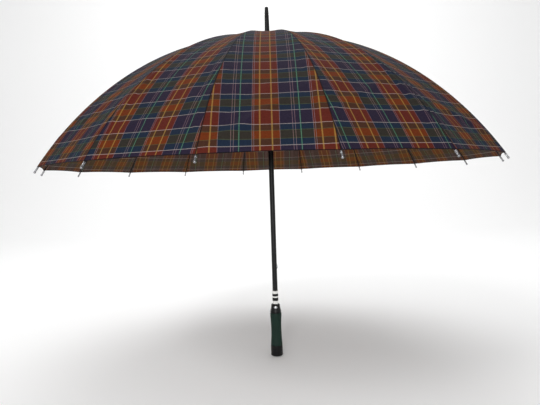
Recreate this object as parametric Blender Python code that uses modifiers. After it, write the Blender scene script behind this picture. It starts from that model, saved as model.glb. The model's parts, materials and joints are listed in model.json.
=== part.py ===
"""Stick umbrella with sixteen two-part ribs, shown open.

Metres, +Z up.  The origin is the centre of the handle's flat end and the shaft runs up +Z.
Ribs stand half a gore either side of the -Y direction, so one gore faces -Y.
"""
import math

import bmesh
import bpy
import numpy as np
from mathutils import Matrix, Vector

MM = 0.001
RIBS = 16
PITCH = 2 * math.pi / RIBS
GAP = 0.3 * MM

# Canopy: radius at the hem corners, height of the hem, and the slope of the rib along its arc
HEM_R = 0.580
HEM_Z = 0.902 * HEM_R
NECK_R = 0.02 * HEM_R
SLOPE_TOP = 0.0
SLOPE_HEM = 0.987
SLOPE_POWER = 0.853
FABRIC = 0.5 * MM
CANOPY_HOLE_R = 7.6 * MM

# Ribs and stretchers; both ends of the linkage pivot at the same radius from the shaft
PIVOT_R = 16 * MM
PIVOT_DROP = 7.4 * MM
RIB_DROP = 2.4 * MM
RIB_RISE_LENGTH = 30 * MM
INNER_RIB_R = 1.3 * MM
OUTER_RIB_R = 1.15 * MM
TIP_R = 1.7 * MM
TIP_BEYOND_HEM = 0.0241 * HEM_R
LINK = 0.285
LUG_DROP = 4.4 * MM
LUG_R = 2.0 * MM
LUG_W = 1.0 * MM
EYE_R = 2.0 * MM
LINK_W = 2.4 * MM
LINK_DEPTH = 2.2 * MM
CLOSED_ANGLE = math.radians(87)
FORK_W = 1.7 * MM

# Shaft, crown and runner
SHAFT_R = 7 * MM
SHAFT_BORE_R = 6 * MM
SLIDE_R = SHAFT_R + GAP
NOTCH_R = 19.5 * MM
SLOT_W = 3.1 * MM
SLOT_ROOT_R = 12.9 * MM
RING_HALF = 5 * MM
BARREL_R = 12.2 * MM
RUNNER_TAIL = 60 * MM

# Spring catches; each stands out of a slot in the shaft on the +X side
CATCH_R = 9.8 * MM
CATCH_W = 2.4 * MM
CATCH_NOSE = 3.4 * MM
CATCH_RAMP = 13.6 * MM
LOWER_CATCH_Z = 0.242
KEYWAY_R = 10.4 * MM
KEYWAY_W = 3.4 * MM

# Handle, bottom to top
CAP_TOP = 28.6 * MM
GRIP_TOP = 118.0 * MM
NECK_TOP = 142.4 * MM
COLLAR_TOP = 178.4 * MM
CAP_R = 16.3 * MM
GRIP_END_R = 16.0 * MM
GRIP_WAIST_R = 14.0 * MM
NECK_TOP_R = 11.7 * MM
SHAFT_FOOT = 36 * MM

# Ferrule
FERRULE_TOP = 1.6296 * HEM_R
FERRULE_CAP = 20 * MM
FERRULE_BASE_R = 6.8 * MM
FERRULE_NECK_R = 5.8 * MM


def arc_profile(samples=400):
    """Arc length, radius and height of the fabric's outer face along a rib."""
    share = np.linspace(0, 1, samples)
    slope = SLOPE_TOP + (SLOPE_HEM - SLOPE_TOP) * share ** SLOPE_POWER

    def running(values):
        steps = (values[1:] + values[:-1]) / 2 / (samples - 1)
        return np.concatenate([[0], np.cumsum(steps)])

    across, down = running(np.cos(slope)), running(np.sin(slope))
    length = (HEM_R - NECK_R) / across[-1]
    height = HEM_Z + (down[-1] - down) * length
    return share * length, NECK_R + across * length, height, slope


ARC_S, ARC_R, ARC_Z, ARC_SLOPE = arc_profile()
ARC_LENGTH = float(ARC_S[-1])
APEX_Z = float(ARC_Z[0])


def fabric_point(s, depth=0.0):
    """Point in the rib's plane, `depth` under the fabric, `s` along the arc (past the hem: straight on)."""
    inside = min(s, ARC_LENGTH)
    r, z, slope = (float(np.interp(inside, ARC_S, values)) for values in (ARC_R, ARC_Z, ARC_SLOPE))
    beyond = s - inside
    r += beyond * math.cos(slope) - depth * math.sin(slope)
    z -= beyond * math.sin(slope) + depth * math.cos(slope)
    return Vector((r, 0, z))


def rib_line(s):
    """Centre of the rib: it rises from the crown pivot to run close under the fabric."""
    rise = max(0.0, 1 - (s - PIVOT_S) / RIB_RISE_LENGTH)
    return fabric_point(s, RIB_DROP + (PIVOT_DROP - RIB_DROP) * rise ** 2)


PIVOT_S = PIVOT_R - NECK_R
CROWN_PIVOT = fabric_point(PIVOT_S, PIVOT_DROP)
CROWN_PIVOT.x = PIVOT_R


def elbow_arc():
    """Arc length at which the stretcher's pivot is one link away from the crown pivot."""
    low, high = 0.2, 0.4
    for _ in range(50):
        middle = (low + high) / 2
        near = (fabric_point(middle, RIB_DROP + LUG_DROP) - CROWN_PIVOT).length < LINK
        low, high = (middle, high) if near else (low, middle)
    return low


ELBOW_S = elbow_arc()
ELBOW = fabric_point(ELBOW_S, RIB_DROP + LUG_DROP)
RUNNER_PIVOT = Vector((PIVOT_R, 0, 2 * ELBOW.z - CROWN_PIVOT.z))
FLEX_S = ELBOW_S + 3 * MM
FLEX = fabric_point(FLEX_S)
CROWN_Z = CROWN_PIVOT.z
RUNNER_Z = RUNNER_PIVOT.z
UPPER_CATCH_Z = RUNNER_Z - RUNNER_TAIL - CATCH_NOSE - 0.8 * MM
OPEN_ANGLE = math.asin((CROWN_Z - ELBOW.z) / LINK)
SLIDE_TRAVEL = 2 * LINK * (math.sin(CLOSED_ANGLE) - math.sin(OPEN_ANGLE))
RUNNER_WINDOW_Z = LOWER_CATCH_Z + SLIDE_TRAVEL


def start_scene():
    """Empties the scene and makes the two collections."""
    for old in list(bpy.data.objects):
        bpy.data.objects.remove(old, do_unlink=True)
    made = []
    for name in ("stick_umbrella", "cutters"):
        collection = bpy.data.collections.new(name)
        bpy.context.scene.collection.children.link(collection)
        made.append(collection)
    return made


PARTS, CUTTERS = start_scene()


def finish_material(name, colour, roughness, metallic=0.0):
    made = bpy.data.materials.new(name)
    made.use_nodes = True
    shader = made.node_tree.nodes["Principled BSDF"]
    shader.inputs["Base Color"].default_value = (*colour, 1)
    shader.inputs["Roughness"].default_value = roughness
    shader.inputs["Metallic"].default_value = metallic
    return made


BLACK_PAINT = finish_material("black_paint", (0.012, 0.012, 0.013), 0.35, 0.6)
BLACK_PLASTIC = finish_material("black_plastic", (0.015, 0.015, 0.016), 0.4)
GREEN_RUBBER = finish_material("green_rubber", (0.02, 0.06, 0.045), 0.7)
BRIGHT_METAL = finish_material("bright_metal", (0.8, 0.8, 0.8), 0.25, 1.0)
PLAID_CLOTH = finish_material("plaid_cloth", (0.16, 0.07, 0.06), 0.75)


def place(name, data, material, collection=PARTS):
    """Puts mesh or curve data in the scene as one named object."""
    made = bpy.data.objects.new(name, data)
    collection.objects.link(made)
    if not data.materials:
        data.materials.append(material)
    if collection is CUTTERS:
        made.hide_render = True
        made.display_type = "WIRE"
    return made


def solid_copy(source, name):
    """A welded mesh of an object as its modifiers leave it; the object itself is removed."""
    bpy.context.view_layer.update()
    evaluated = source.evaluated_get(bpy.context.evaluated_depsgraph_get())
    mesh = bpy.data.meshes.new_from_object(evaluated)
    welder = bmesh.new()
    welder.from_mesh(mesh)
    bmesh.ops.remove_doubles(welder, verts=welder.verts, dist=1e-6)
    welder.to_mesh(mesh)
    welder.free()
    mesh.name = name
    mesh.transform(source.matrix_world)
    bpy.data.objects.remove(source, do_unlink=True)
    return mesh


def boolean(target, tool, operation):
    step = target.modifiers.new(operation.lower(), "BOOLEAN")
    step.operation = operation
    step.object = tool
    step.solver = "EXACT"


def box_mesh(name, low, high):
    """A box between two corners."""
    maker = bmesh.new()
    low, high = Vector(low), Vector(high)
    size = Matrix.Diagonal((*(high - low), 1))
    bmesh.ops.create_cube(maker, size=1, matrix=Matrix.Translation((low + high) / 2) @ size)
    mesh = bpy.data.meshes.new(name)
    maker.to_mesh(mesh)
    maker.free()
    return mesh


def disc_mesh(name, centre, radius, width, sides=12):
    """A disc whose axis is Y."""
    maker = bmesh.new()
    turn = Matrix.Translation(centre) @ Matrix.Rotation(math.pi / 2, 4, "X")
    bmesh.ops.create_cone(maker, cap_ends=True, segments=sides, radius1=radius, radius2=radius,
                          depth=width, matrix=turn)
    mesh = bpy.data.meshes.new(name)
    maker.to_mesh(mesh)
    maker.free()
    return mesh


def turned(name, outline, material, ring=False, steps=32):
    """A turned piece: `outline` runs down the outer side; a ring's outline comes back up its bore."""
    mesh = bpy.data.meshes.new(name)
    points = [(r, 0, z) for r, z in outline]
    edges = [(i, i + 1) for i in range(len(points) - 1)]
    if ring:
        edges.append((len(points) - 1, 0))
    mesh.from_pydata(points, edges, [])
    made = place(name, mesh, material)
    screw = made.modifiers.new("turn", "SCREW")
    screw.axis = "Z"
    screw.angle = 2 * math.pi
    screw.steps = screw.render_steps = steps
    screw.use_merge_vertices = True
    screw.merge_threshold = 1e-5
    screw.use_smooth_shade = True
    return made


def rod_curve(name, points, radii):
    """A rod with filled ends along `points`, its thickness given at each point."""
    data = bpy.data.curves.new(name, "CURVE")
    data.dimensions = "3D"
    data.bevel_depth = 1.0
    data.bevel_resolution = 1
    data.use_fill_caps = True
    spline = data.splines.new("POLY")
    spline.points.add(len(points) - 1)
    for knot, point, radius in zip(spline.points, points, radii):
        knot.co = (*point, 1)
        knot.radius = radius
    return data


def slot_cutter(name, root_r, centre_z):
    """Sixteen radial slots, right through a ring of half height RING_HALF."""
    maker = bmesh.new()
    long, tall = 14 * MM, 4 * RING_HALF
    size = Matrix.Diagonal((long, SLOT_W, tall, 1))
    for index in range(RIBS):
        out = Matrix.Translation((root_r + long / 2, 0, centre_z)) @ size
        bmesh.ops.create_cube(maker, size=1, matrix=Matrix.Rotation(rib_azimuth(index), 4, "Z") @ out)
    mesh = bpy.data.meshes.new(name)
    maker.to_mesh(mesh)
    maker.free()
    return place(name, mesh, BLACK_PLASTIC, CUTTERS)


def rib_azimuth(index):
    """Ribs are numbered round from the one to the right of the -Y gore."""
    return -math.pi / 2 + PITCH * (index + 0.5)


def make_shaft():
    top = APEX_Z + 1.4 * MM
    shaft = turned("shaft", [(SHAFT_R, top), (SHAFT_R, SHAFT_FOOT), (SHAFT_BORE_R, SHAFT_FOOT),
                             (SHAFT_BORE_R, top)], BLACK_PAINT, ring=True)
    half = CATCH_W / 2 + GAP
    long, short = CATCH_RAMP + 2 * GAP, CATCH_NOSE + 2 * GAP
    spans = {"upper": (UPPER_CATCH_Z - long, UPPER_CATCH_Z + short),
             "lower": (LOWER_CATCH_Z - short, LOWER_CATCH_Z + long)}
    for name, (low, high) in spans.items():
        mesh = box_mesh(name, (3 * MM, -half, low), (9 * MM, half, high))
        boolean(shaft, place(f"{name}_catch_slot", mesh, BLACK_PAINT, CUTTERS), "DIFFERENCE")


def make_catch(name, height, ramp_side):
    """Flat catch on the +X side; `ramp_side` is +1 where the long ramp is above the nose."""
    outline = [(3 * MM, -CATCH_NOSE), (SHAFT_R, -CATCH_NOSE), (CATCH_R, -0.6 * MM),
               (CATCH_R, 0.6 * MM), (SHAFT_R, CATCH_RAMP), (3 * MM, CATCH_RAMP)]
    data = bpy.data.curves.new(name, "CURVE")
    data.dimensions = "2D"
    data.fill_mode = "BOTH"
    data.extrude = CATCH_W / 2
    spline = data.splines.new("POLY")
    spline.points.add(len(outline) - 1)
    for knot, (x, z) in zip(spline.points, outline):
        knot.co = (x, z * ramp_side, 0, 1)
    spline.use_cyclic_u = True
    catch = place(name, data, BRIGHT_METAL)
    catch.location = (0, 0, height)
    catch.rotation_euler = (math.pi / 2, 0, 0)


def make_crown():
    low, high = CROWN_Z - RING_HALF, CROWN_Z + RING_HALF
    crown = turned("crown", [(NOTCH_R, high), (NOTCH_R, low), (11 * MM, low), (11 * MM, low - 9 * MM),
                             (SLIDE_R, low - 9 * MM), (SLIDE_R, high)], BLACK_PLASTIC, ring=True)
    boolean(crown, slot_cutter("crown_slots", SLOT_ROOT_R, CROWN_Z), "DIFFERENCE")


def make_runner():
    high, low = RUNNER_Z + RING_HALF, RUNNER_Z - RING_HALF
    foot = RUNNER_Z - RUNNER_TAIL
    runner = turned("runner", [(NOTCH_R, high), (NOTCH_R, low), (BARREL_R, low), (BARREL_R, foot + 1 * MM),
                               (BARREL_R - 1 * MM, foot), (SLIDE_R, foot), (SLIDE_R, high)],
                    BLACK_PLASTIC, ring=True)
    boolean(runner, slot_cutter("runner_slots", SLOT_ROOT_R, RUNNER_Z), "DIFFERENCE")
    half = KEYWAY_W / 2
    keyway = box_mesh("keyway", (4 * MM, -half, foot - 5 * MM), (KEYWAY_R, half, high + 5 * MM))
    boolean(runner, place("runner_keyway", keyway, BLACK_PLASTIC, CUTTERS), "DIFFERENCE")
    window = box_mesh("window", (9 * MM, -half, RUNNER_WINDOW_Z - 5 * MM),
                      (15 * MM, half, RUNNER_WINDOW_Z + 16 * MM))
    boolean(runner, place("runner_window", window, BLACK_PLASTIC, CUTTERS), "DIFFERENCE")


def make_handle():
    spigot = 5.4 * MM
    turned("end_cap", [(0, SHAFT_FOOT - 2 * MM), (spigot, SHAFT_FOOT - 2 * MM), (spigot, CAP_TOP),
                       (CAP_R - 0.4 * MM, CAP_TOP), (CAP_R, CAP_TOP - 1 * MM), (CAP_R, 5 * MM),
                       (CAP_R + 0.4 * MM, 4 * MM), (CAP_R + 0.4 * MM, 2 * MM), (CAP_R - 1.2 * MM, 0),
                       (0, 0)], BLACK_PLASTIC)
    foot = CAP_TOP + GAP
    grip = []
    for share in np.linspace(1, 0, 11):
        bulge = abs(2 * share - 1) ** 1.6
        grip.append((GRIP_WAIST_R + (GRIP_END_R - GRIP_WAIST_R) * bulge, foot + share * (GRIP_TOP - foot)))
    turned("handle_grip", grip + [(SLIDE_R, foot), (SLIDE_R, GRIP_TOP)], GREEN_RUBBER, ring=True)
    base = GRIP_TOP + GAP
    turned("handle_neck", [(NECK_TOP_R - 1.5 * MM, NECK_TOP), (NECK_TOP_R, NECK_TOP - 2 * MM),
                           (13.2 * MM, base + 11 * MM), (15.2 * MM, base + 3 * MM), (15.2 * MM, base),
                           (SLIDE_R, base), (SLIDE_R, NECK_TOP)], BLACK_PLASTIC, ring=True)
    turned("collar_sleeve", [(8.1 * MM, COLLAR_TOP), (8.1 * MM, NECK_TOP + GAP), (SLIDE_R, NECK_TOP + GAP),
                             (SLIDE_R, COLLAR_TOP)], BRIGHT_METAL, ring=True)


def make_ferrule():
    base = APEX_Z + 1.4 * MM + GAP
    shoulder = FERRULE_TOP - FERRULE_CAP
    spigot = SHAFT_BORE_R - GAP
    turned("ferrule", [(0, shoulder), (FERRULE_NECK_R, shoulder), (FERRULE_BASE_R, base + 3 * MM),
                       (8.8 * MM, base + 1.6 * MM), (8.8 * MM, base), (spigot, base),
                       (spigot, base - 25 * MM), (0, base - 25 * MM)], BLACK_PLASTIC)
    low = shoulder + GAP
    turned("ferrule_tip", [(0, FERRULE_TOP), (3.6 * MM, FERRULE_TOP), (4.6 * MM, FERRULE_TOP - 1.2 * MM),
                           (5.7 * MM, low + 2 * MM), (5.7 * MM, low + 1.2 * MM), (5.0 * MM, low + 0.6 * MM),
                           (5.0 * MM, low), (0, low)], BLACK_PLASTIC)


def make_canopy():
    """Sixteen flat-across gores: the rib's curve turned in sixteen steps, then given thickness."""
    spots = [fabric_point(ARC_LENGTH * share) for share in np.linspace(0, 1, 13)]
    outline = [(CANOPY_HOLE_R, APEX_Z)] + [(point.x, point.z) for point in spots]
    canopy = turned("canopy", outline, PLAID_CLOTH, steps=RIBS)
    canopy.rotation_euler = (0, 0, PITCH / 2)
    wall = canopy.modifiers.new("thickness", "SOLIDIFY")
    wall.thickness = FABRIC
    wall.offset = -1
    wall.use_even_offset = True


def inner_rib_mesh():
    """Steel inner rib about its crown pivot: eye, curved rod, and the lug that takes the stretcher."""
    stations = np.concatenate([PIVOT_S + RIB_RISE_LENGTH * np.array([0, 0.3, 0.65, 1]),
                               np.linspace(PIVOT_S + RIB_RISE_LENGTH, FLEX_S - 0.6 * MM, 6)[1:]])
    points = [rib_line(s) - CROWN_PIVOT for s in stations]
    points[0] = Vector((0, 0, 0))
    rod = place("rib_rod", rod_curve("rib_rod", points, [INNER_RIB_R] * len(points)), BLACK_PAINT, CUTTERS)
    body = place("rib_body", solid_copy(rod, "inner_rib"), BLACK_PAINT, CUTTERS)
    eye = place("rib_eye", disc_mesh("rib_eye", Vector(), EYE_R, LINK_W), BLACK_PAINT, CUTTERS)
    pivot = ELBOW - CROWN_PIVOT
    lug = place("rib_lug", disc_mesh("rib_lug", pivot, LUG_R, LUG_W), BLACK_PAINT, CUTTERS)
    half = 1.2 * MM
    slope = float(np.interp(ELBOW_S, ARC_S, ARC_SLOPE))
    side = LUG_W / 2 - 0.01 * MM
    neck_data = box_mesh("rib_neck", (-half, -side, 0), (half, side, LUG_DROP))
    neck_data.transform(Matrix.Translation(pivot) @ Matrix.Rotation(slope, 4, "Y"))
    neck = place("rib_lug_neck", neck_data, BLACK_PAINT, CUTTERS)
    for tool in (eye, lug, neck):
        boolean(body, tool, "UNION")
    return solid_copy(body, "inner_rib")


def outer_rib_mesh():
    """Outer rib about its flex hinge: a thin rod that thickens into a rounded tip past the hem."""
    start, end = FLEX_S + 0.6 * MM, ARC_LENGTH + TIP_BEYOND_HEM
    tip = end - TIP_BEYOND_HEM + 2 * MM
    stations = [*np.linspace(start, tip, 9), tip + 1 * MM, end - 1 * MM, end]
    radii = [OUTER_RIB_R] * 9 + [TIP_R, TIP_R, 0.6 * TIP_R]
    points = [rib_line(s) - FLEX for s in stations]
    rod = place("tip_rod", rod_curve("tip_rod", points, radii), BLACK_PAINT, CUTTERS)
    return solid_copy(rod, "outer_rib")


def stretcher_mesh():
    """Stretcher about its upper pivot: a bar with an eye at the runner and a fork round the lug."""
    along = RUNNER_PIVOT - ELBOW
    turn = Matrix.Rotation(math.atan2(along.x, along.z), 4, "Y")
    half_w, half_d = LINK_W / 2, LINK_DEPTH / 2
    bar_data = box_mesh("bar", (-half_d, -half_w + 0.02 * MM, 0), (half_d, half_w - 0.02 * MM, LINK))
    bar_data.transform(turn)
    bar = place("bar", bar_data, BLACK_PAINT, CUTTERS)
    for name, centre in (("bar_eye", along), ("bar_fork", Vector())):
        end = place(name, disc_mesh(name, centre, EYE_R, LINK_W), BLACK_PAINT, CUTTERS)
        boolean(bar, end, "UNION")
    reach = EYE_R + 1.4 * MM
    slot_data = box_mesh("fork_slot", (-reach, -FORK_W / 2, -reach), (reach, FORK_W / 2, reach))
    slot_data.transform(turn)
    boolean(bar, place("fork_slot", slot_data, BLACK_PAINT, CUTTERS), "DIFFERENCE")
    return solid_copy(bar, "stretcher")


def make_frame():
    """The sixteen rib, rod and stretcher chains, each origin on its own hinge."""
    kinds = (("inner_rib", inner_rib_mesh(), CROWN_PIVOT), ("outer_rib", outer_rib_mesh(), FLEX),
             ("stretcher", stretcher_mesh(), ELBOW))
    for index in range(RIBS):
        turn = Matrix.Rotation(rib_azimuth(index), 4, "Z")
        for kind, mesh, origin in kinds:
            piece = place(f"{kind}_{index + 1:02d}", mesh, BLACK_PAINT)
            piece.matrix_world = turn @ Matrix.Translation(origin)


make_shaft()
make_catch("top_catch", UPPER_CATCH_Z, -1)
make_catch("bottom_catch", LOWER_CATCH_Z, 1)
make_crown()
make_runner()
make_handle()
make_ferrule()
make_canopy()
make_frame()
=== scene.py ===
import json
import math

import bmesh
import bpy
import numpy as np
from mathutils import Matrix, Vector

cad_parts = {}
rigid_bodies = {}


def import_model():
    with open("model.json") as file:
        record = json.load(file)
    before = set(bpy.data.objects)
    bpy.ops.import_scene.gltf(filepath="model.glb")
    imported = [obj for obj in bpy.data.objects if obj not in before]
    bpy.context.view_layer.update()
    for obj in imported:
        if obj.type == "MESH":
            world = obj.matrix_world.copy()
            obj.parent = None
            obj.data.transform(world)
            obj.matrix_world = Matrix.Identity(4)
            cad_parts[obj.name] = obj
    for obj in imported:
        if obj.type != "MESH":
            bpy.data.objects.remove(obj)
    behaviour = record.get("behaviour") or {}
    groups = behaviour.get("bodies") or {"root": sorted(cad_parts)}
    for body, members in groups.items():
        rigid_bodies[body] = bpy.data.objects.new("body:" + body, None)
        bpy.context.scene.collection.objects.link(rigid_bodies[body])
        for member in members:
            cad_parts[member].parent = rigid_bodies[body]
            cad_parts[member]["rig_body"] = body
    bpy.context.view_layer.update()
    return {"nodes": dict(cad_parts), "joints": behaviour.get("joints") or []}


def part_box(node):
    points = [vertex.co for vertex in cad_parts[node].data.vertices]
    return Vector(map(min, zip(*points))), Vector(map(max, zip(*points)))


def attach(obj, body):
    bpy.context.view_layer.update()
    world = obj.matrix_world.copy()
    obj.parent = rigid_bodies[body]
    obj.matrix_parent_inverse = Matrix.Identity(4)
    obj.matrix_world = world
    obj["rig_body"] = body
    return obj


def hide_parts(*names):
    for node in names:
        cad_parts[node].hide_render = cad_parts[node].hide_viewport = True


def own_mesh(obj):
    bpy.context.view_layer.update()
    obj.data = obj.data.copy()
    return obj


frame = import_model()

MM = 0.001

# ---- Studio -------------------------------------------------------------------------------
# A pale floor that curves up into a pale wall, large soft lamps, and a camera a little below
# the hem that looks almost level at the open umbrella.
HEM_R = 0.580
HEM_Z = 0.902 * HEM_R
CAMERA_BACK = 2.286 * HEM_R
CAMERA_BELOW_HEM = 0.0806 * HEM_R
CAMERA_ASIDE = 9.5 * MM
CAMERA_YAW, CAMERA_PITCH, CAMERA_ROLL = 0.0121, -0.0418, -0.031
LENS_LENGTH, SENSOR_WIDTH = 32.45, 36
FLOOR_CLEARANCE = 2 * MM
ROOM_LIGHT = 0.62


def mesh_object(name, vertices, faces, material):
    """One object at the origin from arrays of vertices and faces."""
    mesh = bpy.data.meshes.new(name)
    mesh.from_pydata(np.asarray(vertices, float).reshape(-1, 3).tolist(), [], faces)
    mesh.update()
    made = bpy.data.objects.new(name, mesh)
    bpy.context.scene.collection.objects.link(made)
    mesh.materials.append(material)
    return made


def grid_faces(rows, columns, wrap=False):
    """Quads of a grid of rows by columns; wrap joins the last column to the first."""
    i, j = np.meshgrid(np.arange(rows - 1), np.arange(columns if wrap else columns - 1), indexing="ij")
    beside = (j + 1) % columns
    quads = np.stack([i * columns + j, (i + 1) * columns + j, (i + 1) * columns + beside,
                      i * columns + beside], -1)
    return quads.reshape(-1, 4).tolist()


def tint(digits):
    """Linear red, green and blue of a display colour."""
    shown = np.array([int(digits[k:k + 2], 16) for k in (0, 2, 4)]) / 255
    return tuple(np.where(shown <= 0.04045, shown / 12.92, ((shown + 0.055) / 1.055) ** 2.4).tolist())


def plain_material(name, colour, roughness, metallic=0.0):
    """A Principled material with a colour given as six hexadecimal digits."""
    made = bpy.data.materials.new(name)
    made.use_nodes = True
    shader = made.node_tree.nodes["Principled BSDF"]
    shader.inputs["Base Color"].default_value = (*tint(colour), 1)
    shader.inputs["Roughness"].default_value = roughness
    shader.inputs["Metallic"].default_value = metallic
    return made


def backdrop():
    """Floor and wall in one sheet: flat, then a quarter circle, then upright; clear from beneath."""
    bend, back, reach, height = 1.6, 3.0, 7.0, 6.0
    turn = np.linspace(0, math.pi / 2, 17)
    y = np.concatenate([[-reach], back + bend * np.sin(turn), [back + bend]])
    z = np.concatenate([[0], bend * (1 - np.cos(turn)), [height]]) - FLOOR_CLEARANCE
    x = np.array([reach, -reach])
    points = np.stack([np.broadcast_to(x, (len(y), 2)), np.broadcast_to(y[:, None], (len(y), 2)),
                       np.broadcast_to(z[:, None], (len(y), 2))], -1)
    pale = plain_material("pale_floor", "FAFAFA", 0.9)
    tree = pale.node_tree
    side, clear, either = (tree.nodes.new(kind) for kind in (
        "ShaderNodeNewGeometry", "ShaderNodeBsdfTransparent", "ShaderNodeMixShader"))
    tree.links.new(side.outputs["Backfacing"], either.inputs[0])
    tree.links.new(tree.nodes["Principled BSDF"].outputs[0], either.inputs[1])
    tree.links.new(clear.outputs[0], either.inputs[2])
    tree.links.new(either.outputs[0], tree.nodes["Material Output"].inputs["Surface"])
    made = mesh_object("studio_floor", points, grid_faces(len(y), 2), pale)
    made.data.polygons.foreach_set("use_smooth", [True] * len(made.data.polygons))


def soft_lamp(name, place, size, power, target=(0, 0, 0.6)):
    """A square lamp, its side in metres and its power in watts, that faces a target."""
    data = bpy.data.lights.new(name, "AREA")
    data.size = size
    data.energy = power
    lamp = bpy.data.objects.new(name, data)
    bpy.context.scene.collection.objects.link(lamp)
    lamp.location = place
    lamp.rotation_euler = (Vector(target) - Vector(place)).to_track_quat("-Z", "Y").to_euler()


backdrop()
soft_lamp("key_lamp", (-1.9, -2.6, 3.2), 1.2, 42)
soft_lamp("front_lamp", (-0.35, -1.95, 0.95), 0.3, 6, (0, 0, 0.65))
soft_lamp("fill_lamp", (2.6, -2.6, 1.8), 2.4, 9)
soft_lamp("under_lamp", (0, -2.4, 0.3), 1.6, 20)
soft_lamp("wall_lamp", (0, 1.6, 3.6), 3.0, 64, (0, 3.6, 0.8))
world = bpy.data.worlds.new("studio")
world.use_nodes = True
world.node_tree.nodes["Background"].inputs["Color"].default_value = (1, 1, 1, 1)
world.node_tree.nodes["Background"].inputs["Strength"].default_value = ROOM_LIGHT
bpy.context.scene.world = world

lens = bpy.data.cameras.new("camera")
lens.sensor_width = SENSOR_WIDTH
lens.lens = LENS_LENGTH
camera = bpy.data.objects.new("camera", lens)
bpy.context.scene.collection.objects.link(camera)
look = Matrix.Rotation(CAMERA_YAW, 4, "Z") @ Matrix.Rotation(math.pi / 2 + CAMERA_PITCH, 4, "X")
camera.matrix_world = (Matrix.Translation((CAMERA_ASIDE, -CAMERA_BACK, HEM_Z - CAMERA_BELOW_HEM))
                       @ look @ Matrix.Rotation(CAMERA_ROLL, 4, "Z"))
bpy.context.scene.camera = camera
bpy.context.scene.view_settings.view_transform = "Standard"

# ---- Shaft and spring catches -------------------------------------------------------------
# Steel tube with stoved black paint.  Two slots in it hold the flat spring steel catches that
# keep the runner up or down.
SMOOTH_ANGLE = math.radians(35)
WELD_GAP = 1e-6
FLAT_ANGLE = math.radians(0.5)
HARD_GLOSS = 0.25
BROAD_GRAIN = 38.0
GRAIN_HEIGHT = 0.2 * MM


def new_group(name, inputs, outputs):
    """An empty node group with number or colour sockets."""
    group = bpy.data.node_groups.new(name, "ShaderNodeTree")
    for socket, kind, value in inputs:
        made = group.interface.new_socket(socket, in_out="INPUT", socket_type=f"NodeSocket{kind}")
        if value is not None:
            made.default_value = value
    for socket, kind in outputs:
        group.interface.new_socket(socket, in_out="OUTPUT", socket_type=f"NodeSocket{kind}")
    return group, group.nodes.new("NodeGroupInput"), group.nodes.new("NodeGroupOutput")


def math_node(tree, operation, first, second=None):
    """A Math node; each operand is a socket or a number."""
    node = tree.nodes.new("ShaderNodeMath")
    node.operation = operation
    for socket, value in zip(node.inputs, (first, second)):
        if isinstance(value, bpy.types.NodeSocket):
            tree.links.new(value, socket)
        elif value is not None:
            socket.default_value = value
    return node.outputs[0]


def mix_colour(tree, blend, factor, first, second):
    """A colour Mix node; each operand is a socket or a value."""
    node = tree.nodes.new("ShaderNodeMix")
    node.data_type = "RGBA"
    node.blend_type = blend
    for socket, value in ((node.inputs[0], factor), (node.inputs[6], first), (node.inputs[7], second)):
        if isinstance(value, bpy.types.NodeSocket):
            tree.links.new(value, socket)
        else:
            socket.default_value = value
    return node.outputs[2]


def grain_group():
    """Fine grain: noise at Scale gives a roughness about Base and a height; broad noise gives a mask."""
    group, given, result = new_group(
        "fine_grain", [("Scale", "Float", 900.0), ("Base", "Float", 0.4), ("Spread", "Float", 0.1)],
        [("Roughness", "Float"), ("Height", "Float"), ("Mask", "Float")])
    place = group.nodes.new("ShaderNodeTexCoord")
    fine, broad = (group.nodes.new("ShaderNodeTexNoise") for _ in range(2))
    for noise in (fine, broad):
        group.links.new(place.outputs["Object"], noise.inputs["Vector"])
    group.links.new(given.outputs["Scale"], fine.inputs["Scale"])
    broad.inputs["Scale"].default_value = BROAD_GRAIN
    both = math_node(group, "ADD", fine.outputs["Fac"], broad.outputs["Fac"])
    swing = math_node(group, "MULTIPLY", math_node(group, "SUBTRACT", both, 1.0), given.outputs["Spread"])
    group.links.new(math_node(group, "ADD", given.outputs["Base"], swing), result.inputs["Roughness"])
    group.links.new(fine.outputs["Fac"], result.inputs["Height"])
    group.links.new(broad.outputs["Fac"], result.inputs["Mask"])
    return group


GRAIN = grain_group()


def grained_material(name, dark, light, roughness, metallic=0.0, scale=900.0, spread=0.2, bump=0.05):
    """A finish with fine grain: colour drifts from dark to light, roughness and bump follow the grain."""
    made = plain_material(name, dark, roughness, metallic)
    tree = made.node_tree
    shader = tree.nodes["Principled BSDF"]
    shader.inputs["Specular IOR Level"].default_value = HARD_GLOSS
    grain = tree.nodes.new("ShaderNodeGroup")
    grain.node_tree = GRAIN
    grain.inputs["Scale"].default_value = scale
    grain.inputs["Base"].default_value = roughness
    grain.inputs["Spread"].default_value = spread
    colour = mix_colour(tree, "MIX", grain.outputs["Mask"], (*tint(dark), 1), (*tint(light), 1))
    tree.links.new(colour, shader.inputs["Base Color"])
    tree.links.new(grain.outputs["Roughness"], shader.inputs["Roughness"])
    height = tree.nodes.new("ShaderNodeBump")
    height.inputs["Strength"].default_value = bump
    height.inputs["Distance"].default_value = GRAIN_HEIGHT
    tree.links.new(grain.outputs["Height"], height.inputs["Height"])
    tree.links.new(height.outputs["Normal"], shader.inputs["Normal"])
    return made


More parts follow.
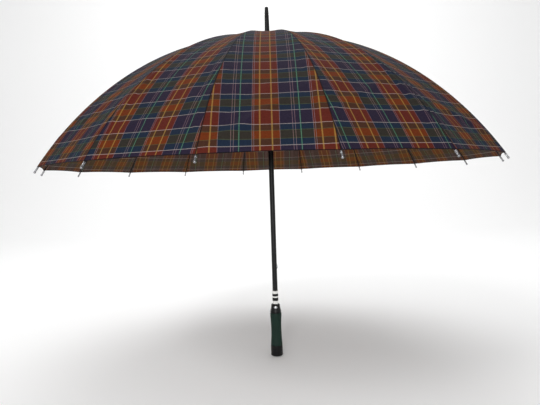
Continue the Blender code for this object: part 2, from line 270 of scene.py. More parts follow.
def refined(node, material, edge=0.0):
    """A welded, smooth-shaded copy of a CAD node that stands for it, its edges eased by `edge`."""
    source = frame["nodes"][node]
    mesh = source.data.copy()
    mesh.materials.clear()
    mesh.materials.append(material)
    welder = bmesh.new()
    welder.from_mesh(mesh)
    bmesh.ops.remove_doubles(welder, verts=welder.verts, dist=WELD_GAP)
    bmesh.ops.dissolve_limit(welder, angle_limit=FLAT_ANGLE, verts=welder.verts, edges=welder.edges)
    for face in welder.faces:
        face.material_index = 0
    welder.to_mesh(mesh)
    welder.free()
    mesh.shade_smooth()
    mesh.set_sharp_from_angle(angle=SMOOTH_ANGLE)
    made = bpy.data.objects.new(f"{node}_finished", mesh)
    bpy.context.scene.collection.objects.link(made)
    if edge:
        ease = made.modifiers.new("eased_edges", "BEVEL")
        ease.width = edge
        ease.segments = 2
        ease.limit_method = "ANGLE"
        ease.angle_limit = SMOOTH_ANGLE
    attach(made, source["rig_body"])
    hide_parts(node)


BLACK_PAINT = grained_material("black_paint", "040405", "09090A", 0.22, scale=1400, bump=0.02)
SPRING_STEEL = grained_material("spring_steel", "8E9092", "B4B6B8", 0.3, 1.0, scale=2200)
refined("shaft", BLACK_PAINT)
CATCH_EDGE = 0.15 * MM
for catch in ("top_catch", "bottom_catch"):
    refined(catch, SPRING_STEEL, CATCH_EDGE)

# ---- Banded sleeve ------------------------------------------------------------------------
# A thin bright sleeve pushed down the shaft on to the handle, printed with two black bands.
# SLEEVE_BANDS says how far down the sleeve each colour starts, as a share of its height.
SLEEVE_BRIGHT, SLEEVE_BLACK = (*tint("ECECEA"), 1), (*tint("0C0C0D"), 1)
SLEEVE_BANDS = ((0, SLEEVE_BRIGHT), (0.21, SLEEVE_BLACK), (0.41, SLEEVE_BRIGHT), (0.51, SLEEVE_BLACK),
                (0.76, SLEEVE_BRIGHT))
TURNED_EDGE = math.radians(50)


def eased(profile, reach):
    """The profile with each inner corner replaced by a quadratic curve that starts `reach` before it,
    or a little short of halfway along a side where the side is too short for that.
    """
    profile = np.asarray(profile, float)
    made = [profile[0]]
    for before, corner, after in zip(profile[:-2], profile[1:-1], profile[2:]):
        arms = [end - corner for end in (before, after)]
        cut = [corner + arm * min(0.45, reach / max(np.hypot(*arm), 1e-9)) for arm in arms]
        share = np.linspace(0, 1, 4)[:, None]
        made.extend((1 - share) ** 2 * cut[0] + 2 * share * (1 - share) * corner + share ** 2 * cut[1])
    return np.array(made + [profile[-1]])


def turned(name, profile, material, segments=96, flute=None):
    """A solid of revolution closed at the axis: radius and height down the profile, turned about Z.

    flute(angle, height) gives what is added to the radius.
    """
    profile = np.asarray(profile, float)
    ring = np.linspace(0, 2 * math.pi, segments, endpoint=False)
    radius = np.broadcast_to(profile[1:-1, :1], (len(profile) - 2, segments))
    height = np.broadcast_to(profile[1:-1, 1:], radius.shape)
    if flute is not None:
        radius = radius + flute(ring[None, :], height)
    points = np.stack([radius * np.cos(ring), radius * np.sin(ring), height], -1).reshape(-1, 3)
    rows, count = radius.shape[0], len(points)
    points = np.vstack([points, [(0, 0, profile[0, 1]), (0, 0, profile[-1, 1])]])
    faces = grid_faces(rows, segments, wrap=True)
    last = (rows - 1) * segments
    faces += [(count, j, (j + 1) % segments) for j in range(segments)]
    faces += [(count + 1, last + (j + 1) % segments, last + j) for j in range(segments)]
    made = mesh_object(name, points, faces, material)
    made.data.shade_smooth()
    made.data.set_sharp_from_angle(angle=TURNED_EDGE)
    return made


def stands_for(piece, body, node):
    """The piece rides on the body in place of the CAD node."""
    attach(piece, body)
    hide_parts(node)


def set_stops(ramp, stops):
    """Gives a colour ramp its stops, each a position and a colour."""
    elements = ramp.color_ramp.elements
    while len(elements) > 1:
        elements.remove(elements[-1])
    for index, (position, colour) in enumerate(stops):
        element = elements[0] if index == 0 else elements.new(position)
        element.position = position
        element.color = colour


def banded_material(low, high):
    """Bands across Z between two heights: bright, black, bright, black, bright from the top."""
    made = grained_material("banded_sleeve", "E6E6E4", "F2F2F0", 0.3, scale=1200, bump=0.02)
    tree = made.node_tree
    place = tree.nodes.new("ShaderNodeTexCoord")
    split = tree.nodes.new("ShaderNodeSeparateXYZ")
    tree.links.new(place.outputs["Object"], split.inputs[0])
    share = math_node(tree, "DIVIDE", math_node(tree, "SUBTRACT", high, split.outputs["Z"]), high - low)
    ramp = tree.nodes.new("ShaderNodeValToRGB")
    ramp.color_ramp.interpolation = "CONSTANT"
    set_stops(ramp, SLEEVE_BANDS)
    tree.links.new(share, ramp.inputs[0])
    tree.links.new(ramp.outputs["Color"], tree.nodes["Principled BSDF"].inputs["Base Color"])
    return made


low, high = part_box("collar_sleeve")
sleeve_line = [(0, high.z), (high.x, high.z), (high.x, low.z), (0, low.z)]
sleeve = turned("banded_sleeve", eased(sleeve_line, 0.3 * MM), banded_material(low.z, high.z))
stands_for(sleeve, "root", "collar_sleeve")

# ---- Handle -------------------------------------------------------------------------------
# Straight handle: a black moulded neck with a blank raised badge, a waisted dark green foam
# rubber grip with shallow lengthwise flutes, and a black cap with a rim at its end.
HANDLE_BLACK = grained_material("handle_black", "060607", "0C0C0D", 0.3, scale=700, bump=0.06)
GRIP_GREEN = grained_material("grip_green", "051D16", "0B2D22", 0.55, scale=520, bump=0.35)
WAIST_DEPTH = 2 * MM
WAIST_POWER = 1.6
GRIP_TOP_ROUNDING, GRIP_FOOT_ROUNDING = 1.1 * MM, 0.5 * MM
FLUTES = 20
FLUTE_DEPTH = 0.35 * MM
FLUTE_FADE = 9 * MM

grip_low, grip_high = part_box("handle_grip")
grip_share = np.linspace(0, 1, 41)
bulge = np.abs(1 - 2 * grip_share) ** WAIST_POWER
waist = grip_high.x - WAIST_DEPTH
grip_line = np.stack([waist + (grip_high.x - waist) * bulge,
                      grip_high.z + (grip_low.z - grip_high.z) * grip_share], -1)
grip_line[0, 0] -= GRIP_TOP_ROUNDING
grip_line[-1, 0] -= GRIP_FOOT_ROUNDING


def grip_flutes(angle, height):
    """Shallow flutes, a squared raised cosine of the angle, that fade out at both ends of the grip."""
    fade = np.clip(np.minimum(height - grip_low.z, grip_high.z - height) / FLUTE_FADE, 0, 1)
    return -FLUTE_DEPTH * fade * (0.5 - 0.5 * np.cos(FLUTES * angle)) ** 2


grip_line = np.vstack([[(0, grip_high.z)], grip_line, [(0, grip_low.z)]])
grip = turned("grip", grip_line, GRIP_GREEN, 160, grip_flutes)
stands_for(grip, "root", "handle_grip")

low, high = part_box("handle_neck")
neck_line = [(0, high.z), (10.2 * MM, high.z), (11.7 * MM, high.z - 2 * MM), (13.2 * MM, low.z + 11 * MM),
             (high.x, low.z + 3.6 * MM), (high.x, low.z + 2.4 * MM), (high.x - 0.6 * MM, low.z + 2 * MM),
             (high.x - 0.6 * MM, low.z + 1.4 * MM), (high.x, low.z + 1 * MM), (high.x, low.z), (0, low.z)]
neck = turned("neck", eased(neck_line, 0.8 * MM), HANDLE_BLACK)
stands_for(neck, "root", "handle_neck")
BADGE_Z = high.z - 7.5 * MM

low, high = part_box("end_cap")
cap_top = 28.6 * MM
cap_line = [(0, cap_top), (high.x - 0.8 * MM, cap_top), (high.x - 0.4 * MM, cap_top - 1 * MM),
            (high.x - 0.4 * MM, 6 * MM), (high.x - 1 * MM, 5.2 * MM), (high.x - 1 * MM, 4.6 * MM),
            (high.x, 4 * MM), (high.x, 2 * MM), (high.x - 1.6 * MM, 0), (0, 0)]
cap = turned("handle_cap", eased(cap_line, 0.6 * MM), HANDLE_BLACK)
stands_for(cap, "root", "end_cap")

BADGE_HALF_WIDTH, BADGE_HALF_HEIGHT = 5.0 * MM, 3.6 * MM
BADGE_EDGE, BADGE_DOME = 0.15 * MM, 0.55 * MM
NECK_WALL = 12.4 * MM
NECK_TAPER = (13.2 - 11.7) / 9.0


def badge():
    """Blank oval plate: an ellipse laid on the tapering neck, raised by its edge's height and then by
    a dome that is a half ellipse across it.
    """
    rings, spokes = 9, 48
    turns = np.linspace(0, 2 * math.pi, spokes, endpoint=False)
    out, turn = np.meshgrid(np.linspace(0, 1, rings)[1:], turns, indexing="ij")
    across, up = BADGE_HALF_WIDTH * out * np.cos(turn), BADGE_HALF_HEIGHT * out * np.sin(turn)
    wall = NECK_WALL - NECK_TAPER * up
    lift = BADGE_EDGE + BADGE_DOME * np.sqrt(np.clip(1 - out ** 2, 0, 1))
    depth = np.sqrt(wall ** 2 - across ** 2) + lift
    front = np.stack([across, -depth, BADGE_Z + up], -1).reshape(-1, 3)
    back = front * [1, 0.9, 1]
    middle = [(0, -(NECK_WALL + 0.7 * MM), BADGE_Z), (0, -11 * MM, BADGE_Z)]
    count, last = len(front), (rings - 2) * spokes
    points = np.vstack([front, back, middle])
    faces = grid_faces(rings - 1, spokes, wrap=True)
    following = (np.arange(spokes) + 1) % spokes
    faces += [(2 * count, j, int(following[j])) for j in range(spokes)]
    faces += [(last + j, count + last + j, count + last + int(following[j]), last + int(following[j]))
              for j in range(spokes)]
    faces += [(2 * count + 1, count + int(following[j]), count + j) for j in range(spokes)]
    faces += [tuple(v + count for v in quad[::-1]) for quad in grid_faces(rings - 1, spokes, wrap=True)]
    made = mesh_object("neck_badge", points, faces, SPRING_STEEL)
    fix = bmesh.new()
    fix.from_mesh(made.data)
    bmesh.ops.recalc_face_normals(fix, faces=fix.faces)
    fix.to_mesh(made.data)
    fix.free()
    made.data.shade_smooth()
    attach(made, "root")


badge()

# ---- Crown, runner and their wires --------------------------------------------------------
# Moulded black notched rings.  A steel wire strings the sixteen rib eyes into the crown, and
# another strings the sixteen stretcher eyes into the runner.
BLACK_PLASTIC = grained_material("black_plastic", "050506", "0A0A0B", 0.26, scale=800, bump=0.05)
PIVOT_R = 16 * MM
RING_HALF = 5 * MM
RING_EDGE = 0.2 * MM
WIRE_R = 0.45 * MM


def ring_wire(name, height, body):
    """A torus: a small circle carried round a circle of the pivots' radius."""
    around, across = 128, 10
    a, b = np.meshgrid(np.linspace(0, 2 * math.pi, around, endpoint=False),
                       np.linspace(0, 2 * math.pi, across, endpoint=False), indexing="ij")
    r = PIVOT_R + WIRE_R * np.cos(b)
    points = np.stack([r * np.cos(a), r * np.sin(a), height + WIRE_R * np.sin(b)], -1)
    index = np.arange(around * across).reshape(around, across)
    ahead, beside = np.roll(index, -1, 0), np.roll(index, -1, 1)
    faces = np.stack([index, ahead, np.roll(ahead, -1, 1), beside], -1).reshape(-1, 4).tolist()
    made = mesh_object(name, points, faces, SPRING_STEEL)
    made.data.shade_smooth()
    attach(made, body)


refined("crown", BLACK_PLASTIC, RING_EDGE)
refined("runner", BLACK_PLASTIC, RING_EDGE)
CROWN_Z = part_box("crown")[1].z - RING_HALF
RUNNER_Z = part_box("runner")[1].z - RING_HALF
ring_wire("crown_wire", CROWN_Z, "root")
ring_wire("runner_wire", RUNNER_Z, "runner")

# ---- Ribs and stretchers ------------------------------------------------------------------
# Black painted steel inner ribs and stretchers, black fibreglass outer ribs.  Each has a rivet
# through its elbow, a crimped sleeve at the splice and a bright cap on its tip.
RIBS = 16
HALF_GORE = math.pi / RIBS
NECK_R = 0.02 * HEM_R
SLOPE_HEM = 0.987
SLOPE_POWER = 0.853
RIB_DROP = 2.4 * MM
TIP_BEYOND_HEM = 0.0241 * HEM_R
STRETCHER_EDGE = 0.2 * MM
RIVET_HALF = 1.5 * MM
FIBREGLASS = grained_material("black_fibreglass", "070708", "101012", 0.34, scale=1600, bump=0.04)
TIP_METAL = grained_material("tip_metal", "6C6C6E", "9C9C9E", 0.2, 1.0, scale=1500, spread=0.1, bump=0.02)


def arc_profile(samples=400):
    """Arc length, radius, height and slope along a rib: the slope grows as a power of the arc."""
    share = np.linspace(0, 1, samples)
    slope = SLOPE_HEM * share ** SLOPE_POWER

    def running(values):
        return np.concatenate([[0], np.cumsum((values[1:] + values[:-1]) / 2 / (samples - 1))])

    across, down = running(np.cos(slope)), running(np.sin(slope))
    length = (HEM_R - NECK_R) / across[-1]
    return share * length, NECK_R + across * length, HEM_Z + (down[-1] - down) * length, slope


ARC_S, ARC_R, ARC_Z, ARC_SLOPE = arc_profile()
ARC_LENGTH = float(ARC_S[-1])


def rib_azimuth(index):
    """The direction of a rib in plan; the first and the last stand either side of the front."""
    return -math.pi / 2 + HALF_GORE * (2 * index + 1)


def joint_place(kind, index):
    """Where a rib's or stretcher's hinge is at rest."""
    found = next(j for j in frame["joints"] if j["name"] == f"{kind}_hinge_{index + 1:02d}")
    return np.array(found["pos_m"])


def rod_along(name, start, direction, profile, material, segments=16):
    """A small turned solid along a direction: profile gives radius and distance from its start."""
    made = turned(name, [(r, -d) for r, d in profile], material, segments)
    turn = Vector((0, 0, -1)).rotation_difference(Vector(direction)).to_matrix().to_4x4()
    made.data.transform(Matrix.Translation(Vector(start)) @ turn)
    return made


def rib_frame(azimuth, slope):
    """Unit vectors level outwards, along the rib down its slope, and square to it on its underside."""
    outward = np.array([math.cos(azimuth), math.sin(azimuth), 0])
    along = math.cos(slope) * outward - np.array([0, 0, math.sin(slope)])
    under = -math.sin(slope) * outward - np.array([0, 0, math.cos(slope)])
    return outward, along, under


def elbow_rivet(number, elbow, azimuth):
    """A pin through the elbow with a rounded head at each side."""
    sideways = np.array([-math.sin(azimuth), math.cos(azimuth), 0])
    far = 2 * RIVET_HALF
    line = [(0, -0.35 * MM), (0.75 * MM, -0.35 * MM), (1.0 * MM, 0), (0.6 * MM, 0.1 * MM),
            (0.6 * MM, far - 0.1 * MM), (1.0 * MM, far), (0.75 * MM, far + 0.35 * MM), (0, far + 0.35 * MM)]
    rivet = rod_along(f"elbow_rivet_{number}", elbow - RIVET_HALF * sideways, sideways,
                      eased(line, 0.15 * MM), SPRING_STEEL)
    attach(rivet, f"inner_rib_{number}")


def splice_sleeve(number, splice, azimuth):
    """A short crimped tube on the start of the outer rib."""
    splice_s = float(np.interp(math.hypot(splice[0], splice[1]), ARC_R, ARC_S))
    _, along, under = rib_frame(azimuth, float(np.interp(splice_s, ARC_S, ARC_SLOPE)))
    line = [(0, 0), (1.45 * MM, 0), (1.65 * MM, 0.8 * MM), (1.65 * MM, 9 * MM), (1.35 * MM, 11 * MM),
            (0, 11 * MM)]
    crimp = rod_along(f"splice_sleeve_{number}", splice + RIB_DROP * under + 0.8 * MM * along, along,
                      eased(line, 0.4 * MM), BLACK_PAINT)
    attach(crimp, f"outer_rib_{number}")


def tip_cap(number, azimuth):
    """A turned metal cap, collared where the hem is tied to it and blunt at its end."""
    outward, along, under = rib_frame(azimuth, SLOPE_HEM)
    hem_corner = HEM_R * outward + np.array([0, 0, HEM_Z])
    reach = TIP_BEYOND_HEM
    line = [(0, 0), (1.6 * MM, 0), (2.0 * MM, 1 * MM), (2.0 * MM, 3.4 * MM), (2.3 * MM, 3.8 * MM),
            (2.3 * MM, 5 * MM), (1.9 * MM, 5.6 * MM), (1.9 * MM, reach - 2.6 * MM),
            (2.4 * MM, reach - 1.6 * MM), (2.5 * MM, reach), (1.6 * MM, reach + 1.6 * MM),
            (0, reach + 2 * MM)]
    tip = rod_along(f"tip_cap_{number}", hem_corner + RIB_DROP * under - 1 * MM * along, along,
                    eased(line, 0.5 * MM), TIP_METAL, 24)
    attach(tip, f"outer_rib_{number}")


for index in range(RIBS):
    number = f"{index + 1:02d}"
    refined(f"inner_rib_{number}", BLACK_PAINT)
    refined(f"outer_rib_{number}", FIBREGLASS)
    refined(f"stretcher_{number}", BLACK_PAINT, STRETCHER_EDGE)
    elbow_rivet(number, joint_place("stretcher", index), rib_azimuth(index))
    splice_sleeve(number, joint_place("outer_rib", index), rib_azimuth(index))
    tip_cap(number, rib_azimuth(index))

# ---- Canopy cloth -------------------------------------------------------------------------
# Sixteen gores of woven plaid, seamed over the ribs and folded double at the hem.  Each half gore
# is in bands along the rib, each with its start, its end and the share of its width that it keeps
# when it pleats outwards as the ribs fold.
CLOTH = 0.4 * MM
HEM_FOLD = 8 * MM
WARP_REPEAT = 99.5 * MM
WEFT_REPEAT = 77.5 * MM
SCALLOP = 2.5 * MM
SAG = 5 * MM
PUCKER = 0.7 * MM
SEAM_SLACK = 0.9 * MM
CELL = 4 * MM
YARN = 0.55 * MM
TWILL_SHADE = 0.08
SLUB_SCALE = 260.0
CLOTH_GLOSS = 0.03
WEAVE_BUMP, WEAVE_HEIGHT = 0.25, 0.08 * MM
SLACK_S, SLACK_REACH = 0.52, 0.13
FOLD_REACH = 0.16
PATCH_S = 5 * MM
SPLICE_S = float(np.interp(math.hypot(*joint_place("outer_rib", 0)[:2]), ARC_R, ARC_S))
BANDS = ((PATCH_S, 0.06, 0.68), (0.06, 0.13, 0.46), (0.13, 0.215, 0.345), (0.215, SPLICE_S, 0.25),
         (SPLICE_S, 0.50, 0.214), (0.50, 0.60, 0.18), (0.60, ARC_LENGTH, 0.13))
OUTER_BAND = 4


def plaid_group():
    """Plaid from cloth coordinates in metres: warp colours times weft colours, with fine lines over
    them and the twill's diagonal ribs painted lighter and darker as painted shade.  The fourth value of
    each colour is how far it covers that product.  The distances in the seam map darken the cloth with
    a dark stitch line and painted shade on each seam, and darken it at the hem's edge.
    """
    group, given, result = new_group("plaid_weave", [("Fade", "Float", 0.0)],
                                     [("Color", "Color"), ("Height", "Float")])
    cloth_map = group.nodes.new("ShaderNodeUVMap")
    cloth_map.uv_map = "cloth"
    split = group.nodes.new("ShaderNodeSeparateXYZ")
    group.links.new(cloth_map.outputs[0], split.inputs[0])
    u, v = split.outputs["X"], split.outputs["Y"]
    rust, navy = (0.31, 0.072, 0.037, 0), (0.066, 0.065, 0.112, 0)
    yellow, pink = (*tint("96703A"), 0.46), (*tint("8A7278"), 0.36)
    green, pale = (*tint("1C5040"), 0.40), (*tint("6C8C7C"), 0.45)
    warp_stops = [(0, navy), (0.053, green), (0.061, pale), (0.069, green), (0.077, navy), (0.268, pink),
                  (0.276, rust), (0.300, pink), (0.307, rust), (0.390, yellow), (0.411, rust),
                  (0.589, yellow), (0.610, rust), (0.719, pink), (0.728, navy), (0.933, pink),
                  (0.941, navy), (0.973, pink), (0.981, navy)]
    red, orange, blue = (0.235, 0.175, 0.215, 0), (0.32, 0.28, 0.13, 0), (0.135, 0.235, 0.265, 0)
    line, moss = (*tint("A09894"), 0.48), (*tint("5E6848"), 0.3)
    weft_stops = [(0, red), (0.161, line), (0.176, blue), (0.341, moss), (0.358, orange), (0.571, moss),
                  (0.588, blue), (0.753, line), (0.768, red)]
    sides = []
    directions = ((u, WARP_REPEAT, 0.5, warp_stops), (v, WEFT_REPEAT, 0.0, weft_stops))
    for value, repeat, shift, stops in directions:
        ramp = group.nodes.new("ShaderNodeValToRGB")
        ramp.color_ramp.interpolation = "CONSTANT"
        set_stops(ramp, stops)
        turns = math_node(group, "ADD", math_node(group, "DIVIDE", value, repeat), shift)
        group.links.new(math_node(group, "FRACT", turns), ramp.inputs[0])
        sides.append(ramp)
    warp, weft = sides
    woven = mix_colour(group, "MULTIPLY", 1.0, warp.outputs["Color"], weft.outputs["Color"])
    for side in (weft, warp):
        woven = mix_colour(group, "MIX", side.outputs["Alpha"], woven, side.outputs["Color"])
    diagonal = math_node(group, "MULTIPLY", math_node(group, "ADD", u, v), math.pi / YARN)
    twill = math_node(group, "SINE", diagonal)
    thread = math_node(group, "SINE", math_node(group, "MULTIPLY", u, 2 * math.pi / YARN))
    height = math_node(group, "ADD", twill, thread)
    slub = group.nodes.new("ShaderNodeTexNoise")
    slub.inputs["Scale"].default_value = SLUB_SCALE
    group.links.new(cloth_map.outputs[0], slub.inputs["Vector"])
    # Painted shade: the twill's diagonal ribs are painted lighter and darker, over slub noise that varies
    # the tone at random.
    shade = math_node(group, "ADD", math_node(group, "MULTIPLY", slub.outputs["Fac"], 0.5), 0.75)
    twill_painted_shade = math_node(group, "ADD", math_node(group, "MULTIPLY", twill, TWILL_SHADE), 1.0)
    shade = math_node(group, "MULTIPLY", shade, twill_painted_shade)
    shaded = mix_colour(group, "MULTIPLY", 1.0, woven, shade)
    faded = mix_colour(group, "MIX", given.outputs["Fade"], shaded, (*tint("B08A5C"), 1))
    seam_map = group.nodes.new("ShaderNodeUVMap")
    seam_map.uv_map = "seam"
    beside = group.nodes.new("ShaderNodeSeparateXYZ")
    group.links.new(seam_map.outputs[0], beside.inputs[0])
    dips = []
    edges = ((beside.outputs["X"], 0.5 * MM, 1.9 * MM), (beside.outputs["Y"], 1.0 * MM, 1.6 * MM))
    for value, near, far in edges:
        fall = group.nodes.new("ShaderNodeMapRange")
        fall.interpolation_type = "SMOOTHSTEP"
        for socket, number in zip(list(fall.inputs)[1:5], (near, far, 1.0, 0.0)):
            socket.default_value = number
        group.links.new(value, fall.inputs[0])
        dips.append(fall.outputs[0])
    # Painted shade: each seam gets a dark stitch line with painted shade beside it, and the hem's edge is
    # darkened.
    seam_shade_and_hem_edge = math_node(group, "MULTIPLY", math_node(group, "MAXIMUM", *dips), 0.85)
    with_seam_shade = mix_colour(group, "MIX", seam_shade_and_hem_edge, faded, (*tint("101012"), 1))
    group.links.new(with_seam_shade, result.inputs["Color"])
    group.links.new(height, result.inputs["Height"])
    return group


PLAID = plaid_group()


def cloth_material(name, fade, roughness):
    """Plaid cloth with its weave as bump; fade mixes in a pale tan."""
    made = plain_material(name, "6B3A33", roughness)
    tree = made.node_tree
    shader = tree.nodes["Principled BSDF"]
    shader.inputs["Specular IOR Level"].default_value = CLOTH_GLOSS
    plaid = tree.nodes.new("ShaderNodeGroup")
    plaid.node_tree = PLAID
    plaid.inputs["Fade"].default_value = fade
    tree.links.new(plaid.outputs["Color"], shader.inputs["Base Color"])
    height = tree.nodes.new("ShaderNodeBump")
    height.inputs["Strength"].default_value = WEAVE_BUMP
    height.inputs["Distance"].default_value = WEAVE_HEIGHT
    tree.links.new(plaid.outputs["Height"], height.inputs["Height"])
    tree.links.new(height.outputs["Normal"], shader.inputs["Normal"])
    return made


CLOTH_FACE = cloth_material("plaid_face", 0.0, 0.62)
CLOTH_REVERSE = cloth_material("plaid_reverse", 0.13, 0.8)


def tension_folds():
    """For each gore, its soft folds: corner side, slant, strength, width and start.  One seeded draw
    gives them all; the front gore's are then listed.
    """
    draw = np.random.default_rng(16)
    gores = []
    for _ in range(RIBS):
        count = int(draw.integers(2, 4))
        gores.append([(float(draw.choice([-1, 1])), draw.uniform(0.35, 1.1), draw.uniform(0.8, 1.9) * MM,
                       draw.uniform(9, 14) * MM, draw.uniform(0, 0.10)) for _ in range(count)])
    gores[-1] = [(-1, 0.86, 2.6 * MM, 9.5 * MM, 0.0), (-1, 0.60, -1.5 * MM, 9 * MM, 0.02),
                 (1, 0.40, 0.9 * MM, 10 * MM, 0.06)]
    return gores


FOLDS = tension_folds()
# How each gore is cut from the cloth, as a shift across it and along it.  They are drawn by lot, and
# then those of the three gores at the front are given.
CUT = np.random.default_rng(3).uniform(-0.5, 0.5, (RIBS, 2)) * [WARP_REPEAT, 6 * MM]
CUT[[-2, -1, 0], 0] = -26 * MM, 3 * MM, 53 * MM
CUT[-1, 1] = 0


def gore_surface(gore, s, u):
    """Outer face of a gore at arc s and share u across it (-1 and 1 at its ribs), with cloth coordinates.

    Flat across between the ribs, sunk a little in the middle, with a shallow scallop at the hem, soft
    folds that run from the hem corners, a ridge and a dip of slack cloth beside the lower seams, and
    small puckers along every seam.
    """
    middle = 1 - u ** 2
    pulled = s - SCALLOP * middle * (s / ARC_LENGTH) ** 8
    r, z, slope = (np.interp(pulled, ARC_S, values) for values in (ARC_R, ARC_Z, ARC_SLOPE))
    half = r * math.sin(HALF_GORE)
    share = pulled / ARC_LENGTH
    lift = -SAG * middle * share ** 0.6 * (1.1 - share ** 3)
    x, up = u * half, ARC_LENGTH - pulled
    for side, slant, strength, width, start in FOLDS[gore]:
        off = (HEM_R * math.sin(HALF_GORE) - side * x) * math.cos(slant) - (up - start) * math.sin(slant)
        run = np.hypot(x - side * HEM_R * math.sin(HALF_GORE), up - start)
        lift = lift + strength * middle * np.exp(-(off / width) ** 2) * np.exp(-(run / FOLD_REACH) ** 2) * 2
    from_seam = (1 - np.abs(u)) * half
    uneven = 1.2 + 0.8 * np.sin(3 * gore + 2.2 * np.sign(u))
    slack = np.exp(-((pulled - SLACK_S) / SLACK_REACH) ** 2) * uneven
    lift = lift + SEAM_SLACK * slack * (np.exp(-((from_seam - 13 * MM) / (4 * MM)) ** 2)
                                        - 0.7 * np.exp(-((from_seam - 23 * MM) / (6 * MM)) ** 2))
    pucker = (np.sin(2 * math.pi * pulled / (17 * MM) + gore)
              * np.sin(2 * math.pi * pulled / (61 * MM) + 2 * gore))
    lift = lift + PUCKER * pucker * np.exp(-from_seam / (9 * MM)) * (1 - np.exp(-from_seam / (3 * MM)))
    steep = np.arctan(np.tan(slope) / math.cos(HALF_GORE))
    out = r * math.cos(HALF_GORE) + lift * np.sin(steep)
    azimuth = rib_azimuth(gore) + HALF_GORE
    points = np.stack([out * math.cos(azimuth) - x * math.sin(azimuth),
                       out * math.sin(azimuth) + x * math.cos(azimuth), z + lift * np.cos(steep)], -1)
    return points, np.stack([x + CUT[gore, 0], np.maximum(up + CUT[gore, 1], 0.2 * MM)], -1)


def gore_normals(gore, s, u):
    """Outward normal by central differences of the surface."""
    step = 0.3 * MM
    turn = 0.004
    along = gore_surface(gore, s + step, u)[0] - gore_surface(gore, s - step, u)[0]
    across = gore_surface(gore, s, u + turn)[0] - gore_surface(gore, s, u - turn)[0]
    normal = np.cross(along, across)
    return normal / np.linalg.norm(normal, axis=-1, keepdims=True)


def pleat(made):
    """Gives the band its own copy of its mesh.
    """
    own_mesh(made)


def half_gore(rib, side, band):
    """One band of the cloth from a rib to the middle of the gore on one side of it: the outer face of
    the gore, and an inner face at the cloth's thickness along its normals, doubled at the hem.
    """
    start, end, _ = BANDS[band]
    gore = rib if side > 0 else (rib - 1) % RIBS
    rows = max(6, int((end - start) / CELL))
    columns = max(8, int(float(np.interp(end, ARC_S, ARC_R)) * math.sin(HALF_GORE) / CELL))
    across = np.linspace(-1, 0, columns) if side > 0 else np.linspace(0, 1, columns)
    s, u = np.meshgrid(np.linspace(start, end, rows), across, indexing="ij")
    inner_u = np.clip(u, -0.995, 0.995)
    outer, flat = gore_surface(gore, s, u)
    normal = gore_normals(gore, np.clip(s, 1 * MM, ARC_LENGTH - 0.4 * MM), inner_u)
    fold = CLOTH * (1 + np.clip((s - (ARC_LENGTH - HEM_FOLD)) / (1 * MM), 0, 1))
    inner = outer - normal * fold[..., None]
    count = rows * columns
    index = np.arange(count).reshape(rows, columns)
    rim = np.concatenate([index[0, :], index[1:, -1], index[-1, -2::-1], index[-2:0:-1, 0]])
    following = np.roll(rim, -1)
    faces = grid_faces(rows, columns)
    reverse = [tuple(v + count for v in quad[::-1]) for quad in faces]
    edges = np.stack([rim, following, following + count, rim + count], -1).tolist()
    number = f"{rib + 1:02d}"
    name = f"cloth_{number}_{'r' if side > 0 else 'l'}_{band + 1}"
    made = mesh_object(name, np.vstack([outer.reshape(-1, 3), inner.reshape(-1, 3)]),
                       faces + reverse + edges, CLOTH_FACE)
    mesh = made.data
    mesh.materials.append(CLOTH_REVERSE)
    slots = [0] * len(faces) + [1] * len(reverse) + [0] * len(edges)
    mesh.polygons.foreach_set("material_index", slots)
    loops = np.empty(len(mesh.loops), np.int32)
    mesh.loops.foreach_get("vertex_index", loops)
    flat = np.tile(flat.reshape(-1, 2), (2, 1))
    mesh.uv_layers.new(name="cloth").data.foreach_set("uv", flat[loops].ravel())
    spread = np.interp(s, ARC_S, ARC_R) * math.sin(HALF_GORE)
    edge = np.tile(np.stack([(1 - np.abs(u)) * spread, ARC_LENGTH - s], -1).reshape(-1, 2), (2, 1))
    mesh.uv_layers.new(name="seam").data.foreach_set("uv", edge[loops].ravel())
    mesh.shade_smooth()
    pointing = np.vstack([normal.reshape(-1, 3), -normal.reshape(-1, 3)])
    mesh.normals_split_custom_set_from_vertices(pointing.tolist())
    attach(made, f"{'inner' if band < OUTER_BAND else 'outer'}_rib_{number}")
    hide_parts("canopy")
    pleat(made)


for rib in range(RIBS):
    for side in (1, -1):
        for band in range(len(BANDS)):
            half_gore(rib, side, band)

# ---- Crown patch --------------------------------------------------------------------------
# The centre of the canopy, a small round of the same cloth clamped between crown and ferrule.
APEX_Z = float(ARC_Z[0])


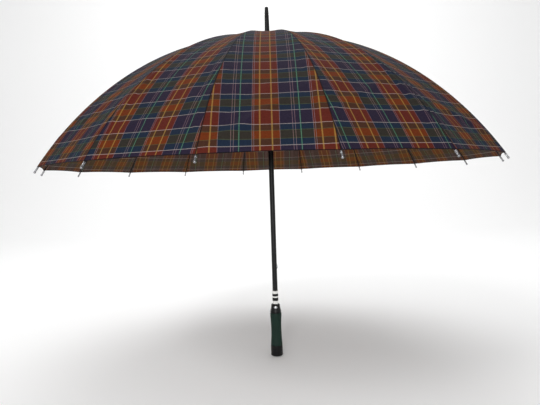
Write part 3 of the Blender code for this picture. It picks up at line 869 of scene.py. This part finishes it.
def crown_patch():
    """A flat ring of cloth with thickness: radius and height round four corners, turned about Z."""
    segments, inside, outside = 96, 7.6 * MM, 17.5 * MM
    ring = np.linspace(0, 2 * math.pi, segments, endpoint=False)
    top, bottom = APEX_Z + 0.45 * MM, APEX_Z + 0.05 * MM
    corners = np.array([(inside, top), (outside, top - 0.1 * MM), (outside, bottom - 0.1 * MM),
                        (inside, bottom)])
    points = np.stack([corners[:, :1] * np.cos(ring), corners[:, :1] * np.sin(ring),
                       np.broadcast_to(corners[:, 1:], (4, segments))], -1)
    faces = grid_faces(4, segments, wrap=True)
    last = 3 * segments
    faces += [(last + j, j, (j + 1) % segments, last + (j + 1) % segments) for j in range(segments)]
    made = mesh_object("crown_patch", points, faces, CLOTH_FACE)
    mesh = made.data
    loops = np.empty(len(mesh.loops), np.int32)
    mesh.loops.foreach_get("vertex_index", loops)
    flat = points.reshape(-1, 3)[:, :2] + [0, ARC_LENGTH]
    mesh.uv_layers.new(name="cloth").data.foreach_set("uv", flat[loops].ravel())
    mesh.uv_layers.new(name="seam").data.foreach_set("uv", np.full(2 * len(loops), 0.1))
    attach(made, "root")
    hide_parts("canopy")


crown_patch()

# ---- Ferrule ------------------------------------------------------------------------------
# Black moulded ferrule, slightly conical, pushed into the top of the shaft over the cloth, and
# a separate blunt cap on its end.
low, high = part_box("ferrule")
foot = APEX_Z + 1.7 * MM
ferrule_line = [(0, high.z), (5.4 * MM, high.z), (5.8 * MM, high.z - 0.6 * MM), (6.8 * MM, foot + 3 * MM),
                (8.8 * MM, foot + 1.6 * MM), (8.8 * MM, foot), (5.7 * MM, foot), (5.7 * MM, low.z),
                (0, low.z)]
ferrule = turned("ferrule_body", eased(ferrule_line, 0.5 * MM), BLACK_PLASTIC)
stands_for(ferrule, "root", "ferrule")
low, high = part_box("ferrule_tip")
tip_line = [(0, high.z), (3.6 * MM, high.z), (4.6 * MM, high.z - 1.2 * MM), (5.7 * MM, low.z + 2 * MM),
            (5.7 * MM, low.z + 1.6 * MM), (4.6 * MM, low.z + 1.1 * MM), (4.6 * MM, low.z), (0, low.z)]
ferrule_end = turned("ferrule_end", eased(tip_line, 0.5 * MM), BLACK_PLASTIC)
stands_for(ferrule_end, "root", "ferrule_tip")
